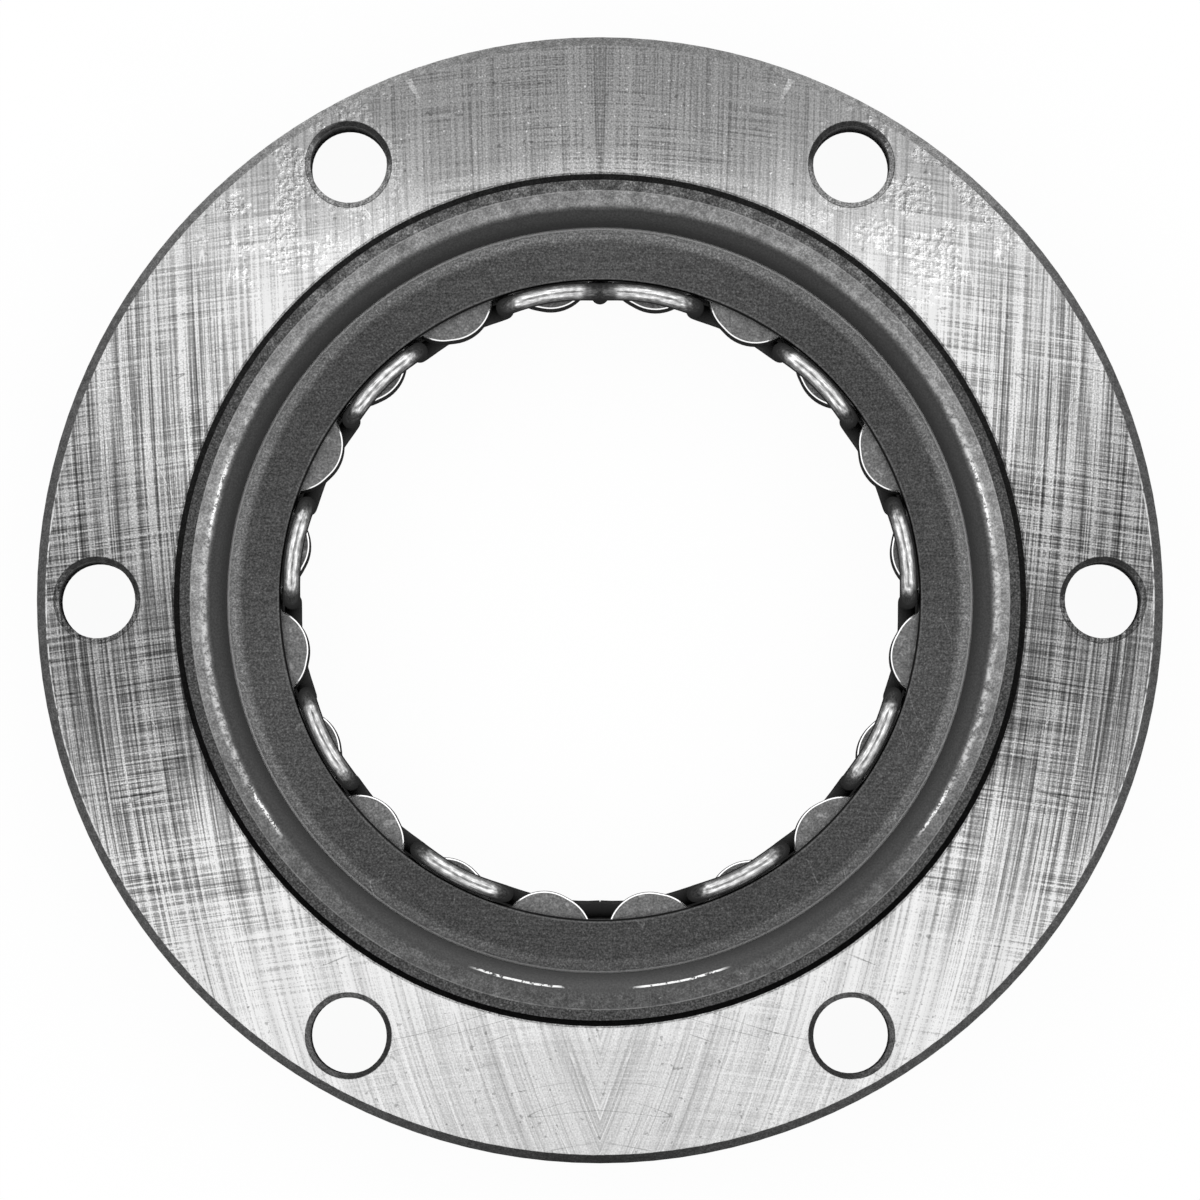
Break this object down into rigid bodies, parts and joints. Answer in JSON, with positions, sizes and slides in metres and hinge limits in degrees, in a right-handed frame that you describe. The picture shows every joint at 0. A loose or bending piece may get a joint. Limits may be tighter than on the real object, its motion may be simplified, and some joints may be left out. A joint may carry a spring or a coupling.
{
  "type": "sprag clutch",
  "caption": "Flanged one-way sprag clutch with a bolt-on outer race, a sheet-steel cage, tilting sprags and a woven wire energising spring.",
  "frame": {"origin": "where the clutch's axis meets the ring's rear face", "axes": "+Z along the clutch's axis, out of the mounting face that carries the cage's flange; +X through one bolt hole; +Y up in the usual face-on view"},
  "size_m": [0.103, 0.103, 0.016],
  "materials": {
    "ground_steel": "ground, with fine crossed grinding marks; chamfers and bores dark",
    "phosphated_sheet": "dark phosphated sheet, worn bright along its raised edge",
    "dark_sheet": "dark fine-grained sheet",
    "spring_wire": "polished drawn spring wire",
    "sprag_steel": "matte end faces, ground bright sides"
  },
  "bodies": {
    "ring_body": {"outer_ring": "ground_steel"},
    "cage_body": {"outer_cage": "phosphated_sheet", "front_ring": "dark_sheet", "energising_spring": "spring_wire"},
    "sprag_01_body": {"sprag_01": "sprag_steel"},
    "sprag_02_body": {"sprag_02": "sprag_steel"},
    "sprag_03_body": {"sprag_03": "sprag_steel"},
    "sprag_04_body": {"sprag_04": "sprag_steel"},
    "sprag_05_body": {"sprag_05": "sprag_steel"},
    "sprag_06_body": {"sprag_06": "sprag_steel"},
    "sprag_07_body": {"sprag_07": "sprag_steel"},
    "sprag_08_body": {"sprag_08": "sprag_steel"},
    "sprag_09_body": {"sprag_09": "sprag_steel"},
    "sprag_10_body": {"sprag_10": "sprag_steel"},
    "sprag_11_body": {"sprag_11": "sprag_steel"},
    "sprag_12_body": {"sprag_12": "sprag_steel"},
    "sprag_13_body": {"sprag_13": "sprag_steel"},
    "sprag_14_body": {"sprag_14": "sprag_steel"},
    "sprag_15_body": {"sprag_15": "sprag_steel"},
    "sprag_16_body": {"sprag_16": "sprag_steel"},
    "sprag_17_body": {"sprag_17": "sprag_steel"},
    "sprag_18_body": {"sprag_18": "sprag_steel"},
    "sprag_19_body": {"sprag_19": "sprag_steel"},
    "sprag_20_body": {"sprag_20": "sprag_steel"}
  },
  "joints": [
    {"name": "cage_spin", "type": "hinge", "parent": "ring_body", "child": "cage_body", "pos_m": [0, 0, 0], "axis": [0, 0, 1], "continuous": true},
    {"name": "sprag_tilt_01", "type": "hinge", "parent": "cage_body", "child": "sprag_01_body", "pos_m": [0.00485, 0.03059, 0.007], "axis": [0, 0, 1], "range_deg": [0, 15], "stiffness_Nm_per_rad": 0.01, "springref_deg": -5.73},
    {"name": "sprag_tilt_02", "type": "hinge", "parent": "cage_body", "child": "sprag_02_body", "pos_m": [0.01406, 0.0276, 0.007], "axis": [0, 0, 1], "range_deg": [0, 15]},
    {"name": "sprag_tilt_03", "type": "hinge", "parent": "cage_body", "child": "sprag_03_body", "pos_m": [0.0219, 0.0219, 0.007], "axis": [0, 0, 1], "range_deg": [0, 15]},
    {"name": "sprag_tilt_04", "type": "hinge", "parent": "cage_body", "child": "sprag_04_body", "pos_m": [0.0276, 0.01406, 0.007], "axis": [0, 0, 1], "range_deg": [0, 15]},
    {"name": "sprag_tilt_05", "type": "hinge", "parent": "cage_body", "child": "sprag_05_body", "pos_m": [0.03059, 0.00485, 0.007], "axis": [0, 0, 1], "range_deg": [0, 15]},
    {"name": "sprag_tilt_06", "type": "hinge", "parent": "cage_body", "child": "sprag_06_body", "pos_m": [0.03059, -0.00485, 0.007], "axis": [0, 0, 1], "range_deg": [0, 15]},
    {"name": "sprag_tilt_07", "type": "hinge", "parent": "cage_body", "child": "sprag_07_body", "pos_m": [0.0276, -0.01406, 0.007], "axis": [0, 0, 1], "range_deg": [0, 15]},
    {"name": "sprag_tilt_08", "type": "hinge", "parent": "cage_body", "child": "sprag_08_body", "pos_m": [0.0219, -0.0219, 0.007], "axis": [0, 0, 1], "range_deg": [0, 15]},
    {"name": "sprag_tilt_09", "type": "hinge", "parent": "cage_body", "child": "sprag_09_body", "pos_m": [0.01406, -0.0276, 0.007], "axis": [0, 0, 1], "range_deg": [0, 15]},
    {"name": "sprag_tilt_10", "type": "hinge", "parent": "cage_body", "child": "sprag_10_body", "pos_m": [0.00485, -0.03059, 0.007], "axis": [0, 0, 1], "range_deg": [0, 15]},
    {"name": "sprag_tilt_11", "type": "hinge", "parent": "cage_body", "child": "sprag_11_body", "pos_m": [-0.00485, -0.03059, 0.007], "axis": [0, 0, 1], "range_deg": [0, 15]},
    {"name": "sprag_tilt_12", "type": "hinge", "parent": "cage_body", "child": "sprag_12_body", "pos_m": [-0.01406, -0.0276, 0.007], "axis": [0, 0, 1], "range_deg": [0, 15]},
    {"name": "sprag_tilt_13", "type": "hinge", "parent": "cage_body", "child": "sprag_13_body", "pos_m": [-0.0219, -0.0219, 0.007], "axis": [0, 0, 1], "range_deg": [0, 15]},
    {"name": "sprag_tilt_14", "type": "hinge", "parent": "cage_body", "child": "sprag_14_body", "pos_m": [-0.0276, -0.01406, 0.007], "axis": [0, 0, 1], "range_deg": [0, 15]},
    {"name": "sprag_tilt_15", "type": "hinge", "parent": "cage_body", "child": "sprag_15_body", "pos_m": [-0.03059, -0.00485, 0.007], "axis": [0, 0, 1], "range_deg": [0, 15]},
    {"name": "sprag_tilt_16", "type": "hinge", "parent": "cage_body", "child": "sprag_16_body", "pos_m": [-0.03059, 0.00485, 0.007], "axis": [0, 0, 1], "range_deg": [0, 15]},
    {"name": "sprag_tilt_17", "type": "hinge", "parent": "cage_body", "child": "sprag_17_body", "pos_m": [-0.0276, 0.01406, 0.007], "axis": [0, 0, 1], "range_deg": [0, 15]},
    {"name": "sprag_tilt_18", "type": "hinge", "parent": "cage_body", "child": "sprag_18_body", "pos_m": [-0.0219, 0.0219, 0.007], "axis": [0, 0, 1], "range_deg": [0, 15]},
    {"name": "sprag_tilt_19", "type": "hinge", "parent": "cage_body", "child": "sprag_19_body", "pos_m": [-0.01406, 0.0276, 0.007], "axis": [0, 0, 1], "range_deg": [0, 15]},
    {"name": "sprag_tilt_20", "type": "hinge", "parent": "cage_body", "child": "sprag_20_body", "pos_m": [-0.00485, 0.03059, 0.007], "axis": [0, 0, 1], "range_deg": [0, 15]}
  ],
  "couplings": [
    {"joint": "sprag_tilt_02", "follows": "sprag_tilt_01", "ratio": 1},
    {"joint": "sprag_tilt_03", "follows": "sprag_tilt_01", "ratio": 1},
    {"joint": "sprag_tilt_04", "follows": "sprag_tilt_01", "ratio": 1},
    {"joint": "sprag_tilt_05", "follows": "sprag_tilt_01", "ratio": 1},
    {"joint": "sprag_tilt_06", "follows": "sprag_tilt_01", "ratio": 1},
    {"joint": "sprag_tilt_07", "follows": "sprag_tilt_01", "ratio": 1},
    {"joint": "sprag_tilt_08", "follows": "sprag_tilt_01", "ratio": 1},
    {"joint": "sprag_tilt_09", "follows": "sprag_tilt_01", "ratio": 1},
    {"joint": "sprag_tilt_10", "follows": "sprag_tilt_01", "ratio": 1},
    {"joint": "sprag_tilt_11", "follows": "sprag_tilt_01", "ratio": 1},
    {"joint": "sprag_tilt_12", "follows": "sprag_tilt_01", "ratio": 1},
    {"joint": "sprag_tilt_13", "follows": "sprag_tilt_01", "ratio": 1},
    {"joint": "sprag_tilt_14", "follows": "sprag_tilt_01", "ratio": 1},
    {"joint": "sprag_tilt_15", "follows": "sprag_tilt_01", "ratio": 1},
    {"joint": "sprag_tilt_16", "follows": "sprag_tilt_01", "ratio": 1},
    {"joint": "sprag_tilt_17", "follows": "sprag_tilt_01", "ratio": 1},
    {"joint": "sprag_tilt_18", "follows": "sprag_tilt_01", "ratio": 1},
    {"joint": "sprag_tilt_19", "follows": "sprag_tilt_01", "ratio": 1},
    {"joint": "sprag_tilt_20", "follows": "sprag_tilt_01", "ratio": 1}
  ]
}
